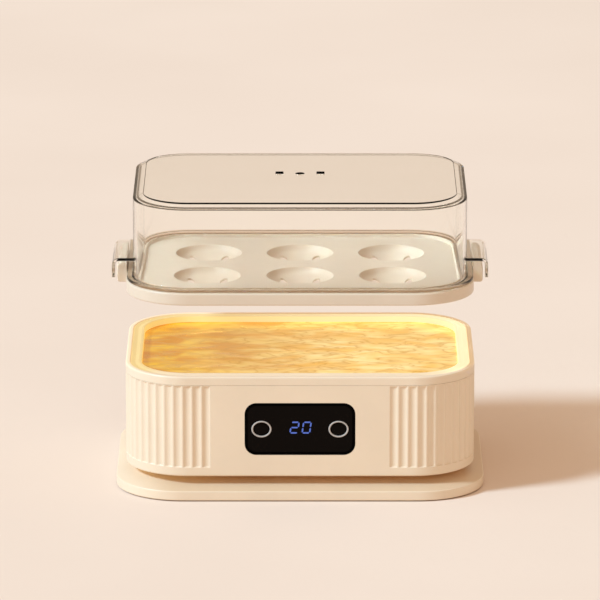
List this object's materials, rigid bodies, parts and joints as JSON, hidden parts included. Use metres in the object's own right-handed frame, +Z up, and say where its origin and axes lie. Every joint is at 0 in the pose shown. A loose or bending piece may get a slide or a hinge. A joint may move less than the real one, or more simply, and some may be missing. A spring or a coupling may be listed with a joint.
{
  "type": "egg cooker",
  "caption": "Electric egg cooker: fluted rounded body on a wide stand plate, gilt heating pan, lift-off egg tray and clear domed lid with hooked ears.",
  "frame": {"origin": "on the surface the cooker stands on, under the middle of its bounding box", "axes": "+Z up, -Y towards the control panel, +X to the right of someone facing the panel"},
  "size_m": [0.2136, 0.154, 0.1696],
  "materials": {
    "cream_shell": "satin moulded cream plastic",
    "cream_tray": "smooth cream moulded plastic, food grade",
    "clear_tea": "polished clear plastic with a light tea tint",
    "glow_ring": "milky light guide that glows warm yellow",
    "gilt_coating": "gilt non-stick coating on a rippled aluminium pan",
    "black_gloss": "gloss black acrylic",
    "silver_ring": "satin silver plating",
    "soft_rubber": "matt grey-brown rubber",
    "silicone": "translucent silicone",
    "bare_aluminium": "cast aluminium",
    "bare_steel": "plain steel",
    "screw_steel": "zinc-plated steel",
    "circuit_board": "green solder mask",
    "black_plastic": "black moulded plastic",
    "ivory_sleeve": "ivory insulation",
    "yellow_tape": "yellow winding tape",
    "blue_plastic": "blue moulded plastic",
    "brass_pin": "bright brass",
    "red_wire": "red wire insulation",
    "white_wire": "white wire insulation",
    "grey_wire": "grey flat cable"
  },
  "bodies": {
    "base": {"base_plate": "cream_shell", "foot_front_left": "soft_rubber", "foot_back_left": "soft_rubber", "foot_front_right": "soft_rubber", "foot_back_right": "soft_rubber", "base_screw_front_left": "screw_steel", "base_screw_back_left": "screw_steel", "base_screw_front_right": "screw_steel", "base_screw_back_right": "screw_steel", "bottom_cover": "cream_shell", "housing_screw_front_left": "screw_steel", "housing_screw_back_left": "screw_steel", "housing_screw_front_right": "screw_steel", "housing_screw_back_right": "screw_steel", "housing": "cream_shell", "rim_collar": "cream_shell", "light_ring": "glow_ring", "light_board": "circuit_board", "heating_pan": "gilt_coating", "pan_gasket": "silicone", "heat_spreader": "bare_aluminium", "heating_element": "bare_steel", "thermostat": "bare_aluminium", "temperature_probe": "bare_steel", "thermal_fuse": "ivory_sleeve", "heat_shield": "bare_steel", "power_board": "circuit_board", "board_screw_1": "screw_steel", "board_screw_2": "screw_steel", "transformer": "yellow_tape", "relay": "blue_plastic", "capacitor": "black_plastic", "terminal_block": "ivory_sleeve", "power_inlet": "black_plastic", "inlet_pin_left": "brass_pin", "inlet_pin_right": "brass_pin", "heater_lead_left": "white_wire", "heater_lead_right": "red_wire", "inlet_lead_left": "white_wire", "inlet_lead_right": "red_wire", "ribbon_cable": "grey_wire", "panel_face": "black_gloss", "left_button_ring": "silver_ring", "right_button_ring": "silver_ring", "left_switch": "black_plastic", "right_switch": "black_plastic", "control_screw_left": "screw_steel", "control_screw_right": "screw_steel", "control_board": "circuit_board", "display_module": "black_plastic"},
    "tray": {"egg_tray": "cream_tray"},
    "lid": {"lid": "clear_tea"},
    "left_button": {"left_button": "black_gloss"},
    "right_button": {"right_button": "black_gloss"}
  },
  "joints": [
    {"name": "tray_lift", "type": "slide", "parent": "base", "child": "tray", "axis": [0, 0, 1], "range_m": [-0.0407, 0.025]},
    {"name": "lid_lift", "type": "slide", "parent": "tray", "child": "lid", "axis": [0, 0, 1], "range_m": [0, 0.055]},
    {"name": "left_button_press", "type": "slide", "parent": "base", "child": "left_button", "axis": [0, 1, 0], "range_m": [0, 0.0008], "stiffness_N_per_m": 1500, "springref_m": -0.0003},
    {"name": "right_button_press", "type": "slide", "parent": "base", "child": "right_button", "axis": [0, 1, 0], "range_m": [0, 0.0008], "stiffness_N_per_m": 1500, "springref_m": -0.0003}
  ]
}
